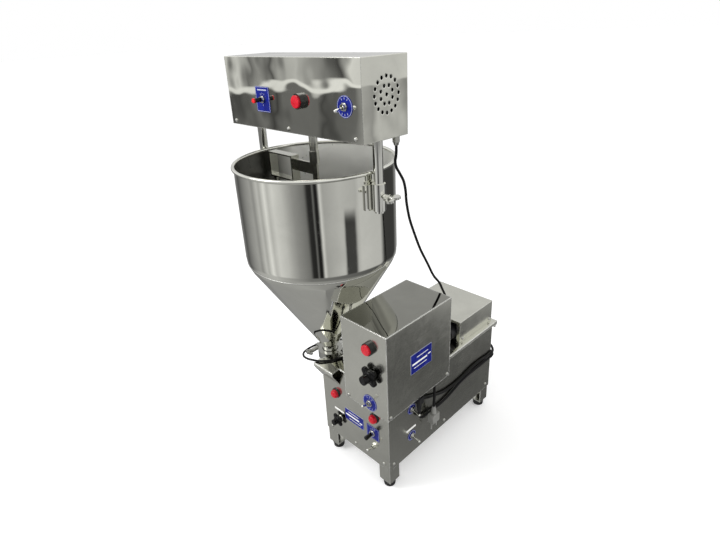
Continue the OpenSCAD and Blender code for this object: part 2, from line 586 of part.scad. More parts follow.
module head_plates() color("royalblue") at() {
  front_at(h_lev_l, dy0) difference() {
    translate([-24, -26, 0]) cube([48, 52, 0.8]);
    translate([0, 0, -1]) cylinder(r = 6.1, h = 4);
  }
  front_at(h_lev_r, dy0) tube(20, 6.1, 0.8);
}
module panel_bushings() color("silver") at() {
  for (p = [b_levb, b_levs]) front_at(p, by0) switch_bushing(p == b_levb ? 0.8 : 0);
  front_at(k_lev, ky0) switch_bushing(0.8);
  for (p = [s_lev1, s_lev2]) right_at(p, bx1) switch_bushing(0.8);
  front_at(b_knob, by0) knob_bushing();
  front_at(k_knob, ky0) knob_bushing();
  front_at(k_btn, ky0) button_bezel();
}
module panel_plates() color("royalblue") at() {
  front_at(k_lev, ky0) tube(21, 6.1, 0.8);
  front_at(b_levb, by0) difference() {
    translate([-20, -18, 0]) cube([40, 36, 0.8]);
    translate([0, 0, -1]) cylinder(r = 6.1, h = 4);
  }
  for (p = [s_lev1, s_lev2]) right_at(p, bx1) tube(14, 6.1, 0.8);
  bx([86, by0 - 0.8, 138], [151, by0, 172]);
  bx([kx1, -92, 317], [kx1 + 0.8, -18, 368]);
}
module head_button() color("red") at() front_at(h_btn, dy0) button_cap();
module box_button() color("red") at() front_at(k_btn, ky0) button_cap();
module box_knob() color("black") at() front_at(k_knob, ky0) star_knob(25, 8, 16, 4, 10.5, 15);
module front_knob() color("black") at() front_at(b_knob, by0) star_knob(18, 5.8, 13, 4, 7.5, 11);
module head_lever_left() color("black") at() front_at(h_lev_l, dy0 - 3) black_lever();
module head_lever_right() color("silver") at() front_at(h_lev_r, dy0 - 3) rotate([13, 0, 0]) bat_lever();
module box_lever() color("silver") at() front_at(k_lev, ky0 - 3) rotate([-13, 0, 0]) bat_lever();
module front_lever_black() color("black") at() front_at(b_levb, by0 - 3) black_lever();
module front_lever_silver() color("silver") at() front_at(b_levs, by0 - 3) rotate([-13, 0, 0]) bat_lever();
module side_lever_upper() color("silver") at() right_at(s_lev1, bx1 + 3) rotate([13, 0, 0]) bat_lever();
module side_lever_lower() color("silver") at() right_at(s_lev2, bx1 + 3) rotate([13, 0, 0]) bat_lever();
module pilot_lamps() color("red") at() {
  for (p = [b_lampl, b_lampr]) front_at(p, by0) lamp();
}

// ---- cords
head_pts = [[196, -70, 821.6], [196, -70, 811], [194, -69, 801], [190, -67, 790], [187, -61, 776], [188, -52, 761],
  [191, -44, 744], [191, -38, 722], [189, -33, 695], [189, -24, 657], [191, -11, 620], [194, 6, 577],
  [198, 26, 537], [201, 46, 498], [203, 66, 472], [203, 80, 447],
  [203, 90, 428.5], [203, 93, 418], [203, 91.6, 407.5], [203, 86, 398.3], [203, 77.5, 392.2], [203, 67, 390], [203, 59.2, 390]];
lead_out = [[242, -56, 188.8], [242, -56, 182], [241.6, -54.2, 173.4], [241, -49.5, 165.8], [240, -42.6, 160.2], [239, -34, 156.6], [237.6, -22, 154], [236, 4, 151], [236, 34, 149], [236, 62, 151],
  [236, 90, 157], [236, 120, 164], [236, 150, 167], [236, 180, 167], [236, 210, 166], [236, 240, 166], [236.4, 256, 166.5],
  [236.6, 270, 166.5], [233, 283, 166], [223.5, 292.5, 165], [210.5, 295.6, 162.8], [199.4, 293.4, 158.6], [190, 289.6, 153.4], [181.7, 286.2, 148.5]];
// spare length: a flat coil that hangs on the saddle behind the cabinet
lead_coil = [for (i = [0 : 46]) let (a = -60 - 20 * i, r = 26 + 6.9 * i / 18, lift = i < 6 ? 3 + 3 * cos(30 * i) : 0)
  [160 + r * cos(a), 278 + lift, 166 + r * sin(a)]];
lead_back = [[160, 278.6, 209.8], [170, 280.4, 208.9], [181, 284, 206], [191, 288.6, 201.2], [200.2, 292.8, 195.4],
  [210.5, 295.6, 188.6], [223.5, 292.5, 182], [233, 283, 178.8], [236.6, 270, 177.6], [236.4, 256, 178], [236, 240, 180], [236, 210, 183], [236, 174, 182],
  [236, 138, 177], [236, 104, 174], [236, 74, 175], [236, 46, 179], [236, 22, 187], [236.6, 0, 196],
  [237, -16, 202.8], [237, -29.4, 208.8], [237, -38.6, 217.6], [238, -42, 229], [238, -39.2, 240], [239, -31, 248], [239, -20, 250.8],
  [240, -9, 248], [240, -0.8, 240], [241, 2.2, 229], [243, 1.2, 216.6], [246.6, -3, 203], [248.8, -7.5, 190], [249, -8, 177.2]];
lead_pts = concat(lead_out, lead_coil, lead_back);
sig_pts = [[106.8, -44, 290], [92, -44.4, 289.6], [74, -48, 286], [50, -52, 283], [28, -54, 283], [8, -57, 283], [-14, -61, 279], [-34, -66, 272],
  [-51, -76, 266], [-62, -90, 263], [-67, -106, 262], [-69, -124, 262], [-67, -142, 263], [-59, -157, 265], [-44, -167, 268],
  [-24, -171, 273], [-4, -171, 279], [14, -166, 282], [28, -155, 283], [38, -141, 283], [44, -126, 283],
  [53, -111, 283], [66, -101, 284], [84, -97, 288.4], [96, -96, 289.8], [106.8, -96, 290]];
module head_cable() color("black") at() cord(head_pts, cable_d, [0, 1, 0]);
module mains_lead() color("black") at() cord(lead_pts, lead_d, [1, 0, 0], 1);
module signal_cable() color("black") at() cord(sig_pts, signal_d, [0, 0, 1]);
module cord_fittings() color("dimgray") at() {
  // mains gland with its spout turned down
  difference() {
    union() {
      bx([bx1, -64, 215], [bx1 + 18, -48, 231]);
      cxp([bx1 - 8, -56, 223], 5, 10);
      translate([242, -56, 189]) cylinder(r1 = 4.4, r2 = 7, h = 27);
    }
    cxp([bx1 - 10, -56, 223], 3, 8);
  }
  // cord saddle behind the skirt, and a second one on the rear face
  right_at([-20, 229], bx1) difference() {
    cylinder(r = 16.6, h = 12.5);
    translate([0, 0, -1]) cylinder(r = 12, h = 20);
    translate([-30, -30, -1]) cube([60, 31, 20]);
  }
  right_at([-20, 244], bx1 - 6) cylinder(r = 2, h = 8);
  difference() {
    cyp([160.6, by1, 166.8], 25.4, 9);
    cyp([160.6, by1 - 1, 166.8], 21, 30);
    bx([120, by1 - 1, 130], [200, by1 + 30, 180]);
  }
  cyp([160.6, by1 - 6, 190], 1.7, 8);
  // gland on the back of the control box and two grommets on its left side
  rear_at([203, 390], ky1) { translate([0, 0, -6]) cylinder(r = 5, h = 7); cylinder(r = 7, h = 4); }
  for (p = [[-96, 290], [-44, 290]]) left_at(p, kx0) { translate([0, 0, -6]) cylinder(r = 5, h = 7); cylinder(r = 6.4, h = 4); }
}
// two-pin plug hanging at the end of the lead
module mains_plug() color("gray") at() translate([249, -8, 0]) {
  translate([0, 0, 155]) cylinder(r1 = 7.5, r2 = 4.4, h = 22);
  bx([-8, -13, 131], [8, 13, 155.5]);
  for (y = [-9.5, 9.5]) cz([0, y, 112], 2.4, 20);
}

body_shell();
table_top();
base_plate();
corner_legs();
rubber_feet();
panel_screws();
rear_cover();
control_box();
drive_controller();
gear_motor();
pump_housing();
pump_cover();
pump_bolts();
shaft_bushes();
inlet_elbow();
neck_ferrules();
clamp_gasket();
clamp_ring();
clamp_bolt();
outlet_pipe();
outlet_nozzle();
hopper();
post_sleeves();
posts();
head_shell();
head_base();
head_screws();
agitator_motor();
shaft_bearing();
agitator_shaft();
agitator_coupling();
agitator_frame();
pump_shaft();
drive_gear();
shaft_coupling();
idler_gear();
head_bushings();
panel_bushings();
head_button();
box_button();
box_knob();
front_knob();
head_lever_left();
head_lever_right();
box_lever();
front_lever_black();
front_lever_silver();
side_lever_upper();
side_lever_lower();
pilot_lamps();
head_plates();
panel_plates();
wing_screw_right();
wing_screw_left();
clamp_wing_nut();
cord_fittings();
mains_plug();
head_cable();
mains_lead();
signal_cable();
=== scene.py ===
import bpy, bmesh, math
from mathutils import Matrix, Vector


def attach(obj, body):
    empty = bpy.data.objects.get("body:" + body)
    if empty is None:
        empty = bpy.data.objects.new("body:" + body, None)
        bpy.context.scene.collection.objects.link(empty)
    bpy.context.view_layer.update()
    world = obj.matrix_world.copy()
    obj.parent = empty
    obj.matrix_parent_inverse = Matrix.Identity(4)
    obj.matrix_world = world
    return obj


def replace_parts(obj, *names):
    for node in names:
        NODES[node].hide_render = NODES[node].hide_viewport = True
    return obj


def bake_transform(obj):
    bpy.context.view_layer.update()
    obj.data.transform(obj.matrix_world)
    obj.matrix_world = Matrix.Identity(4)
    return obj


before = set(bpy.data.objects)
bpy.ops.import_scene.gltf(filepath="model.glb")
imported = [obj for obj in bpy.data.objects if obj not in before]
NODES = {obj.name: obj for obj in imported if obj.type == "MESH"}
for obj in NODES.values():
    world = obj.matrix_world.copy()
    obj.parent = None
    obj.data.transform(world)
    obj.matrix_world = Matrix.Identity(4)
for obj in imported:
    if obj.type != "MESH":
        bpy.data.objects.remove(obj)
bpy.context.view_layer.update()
scene = bpy.context.scene
scene.view_settings.view_transform = "Standard"


def P(x, y, z):
    """A point of the part's own drawing, millimetres, as a row-frame point in metres."""
    return Vector(((x - 6.0) / 1000.0, (y + 2.0) / 1000.0, z / 1000.0))


# ------------------------------------------------------------------ node helpers
class Tree:
    def __init__(self, name):
        self.mat = bpy.data.materials.new(name)
        self.mat.use_nodes = True
        self.t = self.mat.node_tree
        self.t.nodes.clear()
        self.out = self.t.nodes.new("ShaderNodeOutputMaterial")
        self.b = self.t.nodes.new("ShaderNodeBsdfPrincipled")
        self.t.links.new(self.b.outputs["BSDF"], self.out.inputs["Surface"])
        self._obj = None

    def set(self, **kw):
        for k, v in kw.items():
            self.b.inputs[k.replace("_", " ")].default_value = v
        return self

    def link(self, a, b):
        self.t.links.new(a, b)

    def to(self, out, socket):
        self.t.links.new(out, self.b.inputs[socket])

    def obj(self):
        if self._obj is None:
            self._obj = self.t.nodes.new("ShaderNodeTexCoord").outputs["Object"]
        return self._obj

    def stretch(self, s, rot=(0, 0, 0), loc=(0, 0, 0)):
        m = self.t.nodes.new("ShaderNodeMapping")
        m.inputs["Scale"].default_value = s
        m.inputs["Rotation"].default_value = rot
        m.inputs["Location"].default_value = loc
        self.link(self.obj(), m.inputs["Vector"])
        return m.outputs["Vector"]

    def noise(self, vec, scale, detail=3.0, rough=0.55, distort=0.0):
        n = self.t.nodes.new("ShaderNodeTexNoise")
        n.inputs["Scale"].default_value = scale
        n.inputs["Detail"].default_value = detail
        n.inputs["Roughness"].default_value = rough
        n.inputs["Distortion"].default_value = distort
        self.link(vec, n.inputs["Vector"])
        return n.outputs["Fac"]

    def voronoi(self, vec, scale):
        n = self.t.nodes.new("ShaderNodeTexVoronoi")
        n.inputs["Scale"].default_value = scale
        self.link(vec, n.inputs["Vector"])
        return n.outputs["Distance"]

    def range(self, v, a, b, c, d):
        n = self.t.nodes.new("ShaderNodeMapRange")
        for i, x in enumerate((a, b, c, d)):
            n.inputs[i + 1].default_value = x
        self.link(v, n.inputs[0])
        return n.outputs[0]

    def math(self, op, a, b=None):
        n = self.t.nodes.new("ShaderNodeMath")
        n.operation = op
        for i, x in enumerate((a, b)):
            if x is None:
                continue
            if isinstance(x, (int, float)):
                n.inputs[i].default_value = x
            else:
                self.link(x, n.inputs[i])
        return n.outputs[0]

    def ramp(self, v, stops, mode="LINEAR"):
        n = self.t.nodes.new("ShaderNodeValToRGB")
        r = n.color_ramp
        r.interpolation = mode
        while len(r.elements) < len(stops):
            r.elements.new(0.5)
        for e, (p, c) in zip(r.elements, stops):
            e.position = p
            e.color = (*c, 1.0) if len(c) == 3 else c
        self.link(v, n.inputs[0])
        return n.outputs["Color"]

    def mix(self, fac, a, b):
        n = self.t.nodes.new("ShaderNodeMix")
        n.data_type = "RGBA"
        self.link(fac, n.inputs[0])
        for i, x in ((6, a), (7, b)):
            if isinstance(x, tuple):
                n.inputs[i].default_value = (*x, 1.0)
            else:
                self.link(x, n.inputs[i])
        return n.outputs[2]

    def axis(self, vec, i):
        n = self.t.nodes.new("ShaderNodeSeparateXYZ")
        self.link(vec, n.inputs[0])
        return n.outputs[i]

    def normal_z(self):
        g = self.t.nodes.new("ShaderNodeNewGeometry")
        return self.axis(g.outputs["Normal"], 2)

    def bump(self, height, strength, distance, under=None):
        n = self.t.nodes.new("ShaderNodeBump")
        n.inputs["Strength"].default_value = strength
        n.inputs["Distance"].default_value = distance
        self.link(height, n.inputs["Height"])
        if under is not None:
            self.link(under, n.inputs["Normal"])
        return n.outputs["Normal"]


def grey(v, warm=0.0):
    return (v, v, v * (1 - 1.4 * warm))


def steel(name, tone=0.6, warm=0.075, rough=(0.24, 0.36), brush=0.10, wave=0.0, wave_scale=7.0, smudge=0.5, grain=(9, 9, 620), edge=0.0, top=None, top_shade_tone=None, inside_shade=None, collar=None, edge_highlight=0.0):
    """Stainless sheet: brush lines, soft smudges in the gloss, the slow waves of thin plate, folded edges with a
    painted highlight, a painted darker top and painted shade inside.
    """
    m = Tree(name).set(Metallic=1.0)
    side = m.noise(m.stretch(grain), 1.0, 2.0, 0.6)
    flat = m.noise(m.stretch((620, 9, 9)), 1.0, 2.0, 0.6)
    up = m.range(m.math("ABSOLUTE", m.normal_z()), 0.5, 0.8, 0.0, 1.0)
    lines = m.math("ADD", m.math("MULTIPLY", side, m.math("SUBTRACT", 1.0, up)), m.math("MULTIPLY", flat, up))
    cloud = m.noise(m.obj(), 14.0, 4.0, 0.6, 0.4)
    fine = m.noise(m.obj(), 90.0, 3.0, 0.6)
    colour = m.ramp(cloud, [(0.30, grey(tone * 0.93, warm)), (0.72, grey(tone * 1.05, warm))])
    # painted shade: up-facing faces take their own darker tone, standing in for the dark reflection on the top
    if top_shade_tone is not None:
        colour = m.mix(up, colour, m.ramp(cloud, [(0.30, grey(top_shade_tone * 0.93, warm)), (0.72, grey(top_shade_tone * 1.05, warm))]))
    if inside_shade is not None:
        # used inside: painted shade, a darker tone towards the front where the wall lies in shade, and a painted
        # lighter tone towards the rear, which also gets a milky, less metallic film
        y0, y1, shade_tone = inside_shade
        rear_film_and_light = m.range(m.axis(m.obj(), 1), y0, y1, 0.0, 1.0)
        colour = m.mix(rear_film_and_light, m.ramp(cloud, [(0.30, grey(shade_tone * 0.9, warm)), (0.72, grey(shade_tone * 1.1, warm))]), colour)
        m.to(m.math("SUBTRACT", 1.0, m.math("MULTIPLY", rear_film_and_light, m.range(cloud, 0.3, 0.7, 0.62, 0.72))), "Metallic")
    r = m.range(lines, 0.3, 0.7, rough[0], rough[1])
    spots = m.range(m.math("MULTIPLY", cloud, fine), 0.16, 0.42, -0.045 * smudge, 0.075 * smudge)
    r = m.math("MAXIMUM", m.math("ADD", r, spots), 0.02)
    if top is not None:
        r = m.math("ADD", m.math("MULTIPLY", r, m.math("SUBTRACT", 1.0, up)), m.math("MULTIPLY", m.math("ADD", m.range(cloud, 0.3, 0.7, top - 0.02, top + 0.02), 0.0), up))
    if collar is not None:
        # black moulded collars round the push-buttons
        mask = None
        for c in collar:
            dx = m.math("SUBTRACT", m.axis(m.obj(), 0), c.x)
            dz = m.math("SUBTRACT", m.axis(m.obj(), 2), c.z)
            near = m.math("LESS_THAN", m.math("ADD", m.math("MULTIPLY", dx, dx), m.math("MULTIPLY", dz, dz)), 0.0157 ** 2)
            mask = near if mask is None else m.math("MAXIMUM", mask, near)
        black = m.ramp(fine, [(0.3, (0.008, 0.008, 0.008)), (0.7, (0.022, 0.022, 0.022))])
        colour = m.mix(mask, colour, black)
        m.to(m.math("SUBTRACT", 1.0, mask), "Metallic")
        r = m.math("ADD", r, m.math("MULTIPLY", mask, 0.12))
    n = None
    if edge > 0:
        e = m.t.nodes.new("ShaderNodeBevel")
        e.samples = 6
        e.inputs["Radius"].default_value = edge
        n = e.outputs["Normal"]
        if edge_highlight > 0:
            # painted highlight: the folded edges get a pale, less metallic colour so that they read bright
            dot = m.t.nodes.new("ShaderNodeVectorMath")
            dot.operation = "DOT_PRODUCT"
            m.link(n, dot.inputs[0])
            m.link(m.t.nodes.new("ShaderNodeNewGeometry").outputs["True Normal"], dot.inputs[1])
            highlight_mask = m.math("MULTIPLY", m.range(dot.outputs["Value"], 0.985, 0.80, 0.0, 1.0), m.range(cloud, 0.3, 0.7, 0.7 * edge_highlight, edge_highlight))
            colour = m.mix(highlight_mask, colour, (0.95, 0.95, 0.91))
            m.to(m.math("SUBTRACT", 1.0, m.math("MULTIPLY", highlight_mask, 0.6)), "Metallic")
    m.to(colour, "Base Color")
    m.to(r, "Roughness")
    if wave > 0:
        n = m.bump(m.noise(m.stretch((1, 1, 1.25)), wave_scale, 2.0, 0.45), wave, 0.01, n)
    m.to(m.bump(lines, brush, 0.00012, n), "Normal")
    return m.mat


def plastic(name, dark, light, rough=(0.25, 0.4), grain=900.0, bump=0.08, coat=0.0, **const):
    m = Tree(name).set(Metallic=0.0, **const)
    cloud = m.noise(m.obj(), 45.0, 4.0, 0.6)
    fine = m.noise(m.obj(), grain, 2.0, 0.5)
    m.to(m.ramp(cloud, [(0.3, dark), (0.75, light)]), "Base Color")
    m.to(m.range(m.math("MULTIPLY", cloud, fine), 0.12, 0.4, rough[0], rough[1]), "Roughness")
    if coat:
        m.set(Coat_Weight=coat, Coat_Roughness=0.08)
    m.to(m.bump(fine, bump, 0.0002), "Normal")
    return m.mat


def cast(name, dark, light, metal=0.0, rough=(0.5, 0.7)):
    m = Tree(name).set(Metallic=metal)
    lumps = m.noise(m.obj(), 260.0, 4.0, 0.65)
    cloud = m.noise(m.obj(), 22.0, 3.0, 0.6)
    m.to(m.ramp(m.math("MULTIPLY", lumps, cloud), [(0.15, dark), (0.42, light)]), "Base Color")
    m.to(m.range(lumps, 0.3, 0.7, rough[0], rough[1]), "Roughness")
    m.to(m.bump(lumps, 0.35, 0.0005), "Normal")
    return m.mat


M = {}
# the folded edges of these sheet finishes carry a painted highlight
M["satin"] = steel("satin_steel", 0.55, 0.070, (0.17, 0.23), 0.018, 0.035, 6.0, edge=0.0030, edge_highlight=0.7)
# control box: its top face is painted darker (painted shade)
M["box"] = steel("box_steel", 0.64, 0.070, (0.17, 0.22), 0.014, 0.05, 6.0, edge=0.0042, top=0.035, top_shade_tone=0.30, edge_highlight=0.9)
M["cover"] = steel("cover_steel", 0.66, 0.070, (0.16, 0.24), 0.015, 0.03, 6.0, edge=0.0026, top=0.16, edge_highlight=0.6)
M["table"] = steel("table_steel", 0.70, 0.070, (0.06, 0.10), 0.02, 0.07, 11.0, edge=0.0055, edge_highlight=0.8)
M["mirror"] = steel("mirror_steel", 0.76, 0.045, (0.035, 0.075), 0.012, 0.0, smudge=0.6)
M["blade"] = steel("blade_steel", 0.56, 0.080, (0.16, 0.26), 0.03, 0.0, smudge=0.6, edge=0.0012)
M["head"] = steel("head_steel", 0.76, 0.070, (0.012, 0.024), 0.003, 0.20, 6.5, smudge=0.3, edge=0.0024, edge_highlight=0.5)
M["bowl"] = steel("hopper_steel", 0.76, 0.060, (0.022, 0.048), 0.010, 0.035, 9.0, smudge=0.6, grain=(300, 300, 3))
# hopper inside: painted shade towards the front, painted light towards the rear
M["bowl_inside"] = steel("hopper_inside_steel", 0.90, 0.040, (0.28, 0.35), 0.004, 0.02, 9.0, smudge=0.5, grain=(40, 40, 3), inside_shade=(-0.085, -0.040, 0.17))
M["machined"] = steel("machined_steel", 0.55, 0.04, (0.26, 0.38), 0.12)
M["nickel"] = steel("nickel_plate", 0.66, 0.06, (0.14, 0.24), 0.04)
M["nickel_head"] = steel("nickel_plate_head", 0.66, 0.06, (0.14, 0.24), 0.04, collar=[P(34, 0, 906)])
M["nickel_panel"] = steel("nickel_plate_panel", 0.66, 0.06, (0.14, 0.24), 0.04, collar=[P(198, 0, 408)])
M["chrome"] = steel("chrome_plate", 0.78, 0.04, (0.06, 0.12), 0.02)
M["black"] = plastic("black_plastic", (0.001, 0.001, 0.001), (0.004, 0.004, 0.004), (0.06, 0.14), 700.0, 0.02, Specular_IOR_Level=0.22)
M["rubber"] = plastic("foot_rubber", (0.010, 0.010, 0.010), (0.020, 0.020, 0.020), (0.4, 0.6), 1500.0, 0.2, Specular_IOR_Level=0.25)
M["fitting"] = plastic("fitting_plastic", (0.010, 0.010, 0.011), (0.018, 0.018, 0.018), (0.3, 0.5), 1200.0, 0.12, Specular_IOR_Level=0.25)
M["plug"] = plastic("plug_plastic", (0.15, 0.15, 0.14), (0.24, 0.24, 0.225), (0.3, 0.45), 1200.0, 0.1)
M["white"] = plastic("label_white", (0.72, 0.72, 0.70), (0.86, 0.86, 0.84), (0.3, 0.45), 800.0, 0.04)
M["blue"] = plastic("blue_enamel", (0.0025, 0.006, 0.125), (0.006, 0.014, 0.215), (0.2, 0.34), 600.0, 0.04, Specular_IOR_Level=0.22)
M["mark"] = plastic("mark_pale", (0.30, 0.32, 0.42), (0.42, 0.44, 0.54), (0.3, 0.45), 800.0, 0.04)
M["clamp"] = steel("clamp_steel", 0.40, 0.05, (0.16, 0.28), 0.03)
M["gasket"] = plastic("white_silicone", (0.62, 0.61, 0.58), (0.8, 0.79, 0.76), (0.4, 0.55), 900.0, 0.08)
M["motor"] = cast("motor_casting", (0.035, 0.040, 0.046), (0.11, 0.12, 0.135))
M["coupling"] = cast("coupling_iron", (0.16, 0.03, 0.025), (0.34, 0.07, 0.05))
M["controller"] = cast("controller_aluminium", (0.018, 0.018, 0.020), (0.06, 0.06, 0.064), 0.6, (0.35, 0.5))
M["bronze"] = cast("bush_bronze", (0.36, 0.22, 0.09), (0.62, 0.42, 0.19), 1.0, (0.3, 0.45))


def cord_sheath():
    m = Tree("cord_sheath").set(Metallic=0.0, Specular_IOR_Level=0.16)
    lumps = m.noise(m.obj(), 400.0, 3.0, 0.6)
    slow = m.noise(m.obj(), 30.0, 3.0, 0.6)
    m.to(m.ramp(slow, [(0.3, (0.003, 0.003, 0.003)), (0.75, (0.010, 0.010, 0.010))]), "Base Color")
    m.to(m.range(m.math("MULTIPLY", lumps, slow), 0.12, 0.42, 0.34, 0.58), "Roughness")
    m.to(m.bump(lumps, 0.12, 0.0002), "Normal")
    return m.mat


M["sheath"] = cord_sheath()


def red_lens(name, y_foot=None):
    """Moulded translucent red, with a black foot where it meets the panel."""
    m = Tree(name).set(Metallic=0.0, Coat_Weight=0.22, Coat_Roughness=0.06, Subsurface_Weight=0.12, Subsurface_Scale=0.004, Specular_IOR_Level=0.3)
    cloud = m.noise(m.obj(), 60.0, 4.0, 0.6)
    fine = m.noise(m.obj(), 1100.0, 2.0, 0.5)
    red = m.ramp(cloud, [(0.25, (0.38, 0.003, 0.012)), (0.75, (0.58, 0.008, 0.024))])
    if y_foot is not None:
        foot = m.range(m.axis(m.obj(), 1), y_foot - 0.0001, y_foot + 0.0001, 0.0, 1.0)
        red = m.mix(foot, red, (0.012, 0.012, 0.012))
    m.to(red, "Base Color")
    m.to(m.range(m.math("MULTIPLY", cloud, fine), 0.12, 0.4, 0.2, 0.36), "Roughness")
    m.to(m.bump(fine, 0.05, 0.0002), "Normal")
    return m.mat


M["red"] = red_lens("red_plastic")
M["lamp"] = red_lens("lamp_plastic", P(0, -153 - 3.5, 0).y)


def lever_black(name, y_tip):
    """Black lever whose end cap is red: the cap starts at one distance from the panel."""
    m = Tree(name).set(Metallic=0.0, Specular_IOR_Level=0.3)
    cloud = m.noise(m.obj(), 60.0, 4.0, 0.6)
    fine = m.noise(m.obj(), 900.0, 2.0, 0.5)
    tip = m.range(m.axis(m.obj(), 1), y_tip - 0.0004, y_tip + 0.0004, 1.0, 0.0)
    black = m.ramp(cloud, [(0.3, (0.006, 0.006, 0.006)), (0.75, (0.017, 0.017, 0.017))])
    red = m.ramp(cloud, [(0.3, (0.48, 0.008, 0.010)), (0.75, (0.66, 0.016, 0.02))])
    m.to(m.mix(tip, black, red), "Base Color")
    m.to(m.range(m.math("MULTIPLY", cloud, fine), 0.12, 0.4, 0.22, 0.4), "Roughness")
    m.to(m.bump(fine, 0.06, 0.0002), "Normal")
    return m.mat


USES = {
    "satin": "body_shell base_plate corner_legs",
    "box": "control_box",
    "cover": "rear_cover",
    "table": "table_top",
    "head": "head_shell",
    "bowl": "hopper",
    "blade": "agitator_frame",
    "nickel": "agitator_shaft agitator_coupling",
    "mirror": "head_base post_sleeves posts inlet_elbow neck_ferrules outlet_pipe outlet_nozzle wing_screw_right wing_screw_left",
    "clamp": "clamp_ring clamp_wing_nut",
    "machined": "panel_screws head_screws pump_bolts clamp_bolt pump_shaft shaft_bearing pump_cover pump_housing drive_gear idler_gear",
    "nickel_head": "head_bushings",
    "nickel_panel": "panel_bushings",
    "chrome": "head_lever_right box_lever front_lever_silver side_lever_upper side_lever_lower",
    "black": "box_knob front_knob front_lever_black",
    "red": "head_button box_button",
    "lamp": "pilot_lamps",
    "blue": "head_plates panel_plates",
    "rubber": "rubber_feet",
    "sheath": "head_cable mains_lead signal_cable",
    "fitting": "cord_fittings",
    "plug": "mains_plug",
    "motor": "gear_motor agitator_motor",
    "controller": "drive_controller",
    "bronze": "shaft_bushes",
    "gasket": "clamp_gasket",
    "coupling": "shaft_coupling",
}


def paint(o, mat):
    if not o.data.materials:
        o.data.materials.append(mat)
    for i in range(len(o.data.materials)):
        o.data.materials[i] = mat


for key, names in USES.items():
    for n in names.split():
        paint(NODES[n], M[key])
paint(NODES["head_lever_left"], lever_black("head_lever_plastic", P(0, -166 - 3 - 19.5, 0).y))


# ------------------------------------------------------------------ meshes
def new_mesh(name, verts, faces, mat, body, smooth=None):
    me = bpy.data.meshes.new(name)
    me.from_pydata([tuple(v) for v in verts], [], faces)
    me.validate()
    bm = bmesh.new()
    bm.from_mesh(me)
    bmesh.ops.remove_doubles(bm, verts=bm.verts, dist=1e-7)
    bmesh.ops.recalc_face_normals(bm, faces=bm.faces)
    bm.to_mesh(me)
    bm.free()
    o = bpy.data.objects.new(name, me)
    scene.collection.objects.link(o)
    me.materials.append(mat)
    if smooth is not None:
        for p in me.polygons:
            p.use_smooth = True
        me.set_sharp_from_angle(angle=math.radians(smooth))
    if body:
        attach(o, body)
    return o


def lathe(profile, seg, centre, closed=True):
    """Rings of a closed profile (radius, height in mm) turned about a vertical axis."""
    verts, faces = [], []
    n = len(profile)
    for i in range(seg):
        a = 2 * math.pi * i / seg
        for r, z in profile:
            verts.append(P(centre[0] + r * math.cos(a), centre[1] + r * math.sin(a), z))
    for i in range(seg):
        j = (i + 1) % seg
        for k in range(n if closed else n - 1):
            l = (k + 1) % n
            faces.append((i * n + k, j * n + k, j * n + l, i * n + l))
    return verts, faces


def rounded(w, h, r, k=6):
    """Outline of a rounded rectangle about the origin, millimetres."""
    pts = []
    for cx, cy, a0 in ((w / 2 - r, h / 2 - r, 0), (-w / 2 + r, h / 2 - r, 90), (-w / 2 + r, -h / 2 + r, 180), (w / 2 - r, -h / 2 + r, 270)):
        for i in range(k + 1):
            a = math.radians(a0 + 90 * i / k)
            pts.append((cx + r * math.cos(a), cy + r * math.sin(a)))
    return pts


def circle(r, k=64):
    return [(r * math.cos(2 * math.pi * i / k), r * math.sin(2 * math.pi * i / k)) for i in range(k)]


# ------------------------------------------------------------------ cords
HEAD_PTS = [(196, -70, 821.6), (196, -70, 811), (194, -69, 801), (190, -67, 790), (187, -61, 776), (188, -52, 761),
  (191, -44, 744), (191, -38, 722), (189, -33, 695), (189, -24, 657), (191, -11, 620), (194, 6, 577),
  (198, 26, 537), (201, 46, 498), (203, 66, 472), (203, 80, 447),
  (203, 90, 428.5), (203, 93, 418), (203, 91.6, 407.5), (203, 86, 398.3), (203, 77.5, 392.2), (203, 67, 390), (203, 59.2, 390)]
LEAD_OUT = [(242, -56, 188.8), (242, -56, 182), (241.6, -54.2, 173.4), (241, -49.5, 165.8), (240, -42.6, 160.2), (239, -34, 156.6), (237.6, -22, 154), (236, 4, 151), (236, 34, 149), (236, 62, 151),
  (236, 90, 157), (236, 120, 164), (236, 150, 167), (236, 180, 167), (236, 210, 166), (236, 240, 166), (236.4, 256, 166.5),
  (236.6, 270, 166.5), (233, 283, 166), (223.5, 292.5, 165), (210.5, 295.6, 162.8), (199.4, 293.4, 158.6), (190, 289.6, 153.4), (181.7, 286.2, 148.5)]
# spare length: a flat coil that hangs on the saddle behind the cabinet
LEAD_COIL = []
for i in range(47):
    a_, r_ = math.radians(-60 - 20 * i), 26 + 6.9 * i / 18
    lift = 3 + 3 * math.cos(math.radians(30 * i)) if i < 6 else 0
    LEAD_COIL.append((160 + r_ * math.cos(a_), 278 + lift, 166 + r_ * math.sin(a_)))
LEAD_BACK = [(160, 278.6, 209.8), (170, 280.4, 208.9), (181, 284, 206), (191, 288.6, 201.2), (200.2, 292.8, 195.4),
  (210.5, 295.6, 188.6), (223.5, 292.5, 182), (233, 283, 178.8), (236.6, 270, 177.6), (236.4, 256, 178), (236, 240, 180), (236, 210, 183), (236, 174, 182),
  (236, 138, 177), (236, 104, 174), (236, 74, 175), (236, 46, 179), (236, 22, 187), (236.6, 0, 196),
  (237, -16, 202.8), (237, -29.4, 208.8), (237, -38.6, 217.6), (238, -42, 229), (238, -39.2, 240), (239, -31, 248), (239, -20, 250.8),
  (240, -9, 248), (240, -0.8, 240), (241, 2.2, 229), (243, 1.2, 216.6), (246.6, -3, 203), (248.8, -7.5, 190), (249, -8, 177.2)]
LEAD_PTS = LEAD_OUT + LEAD_COIL + LEAD_BACK
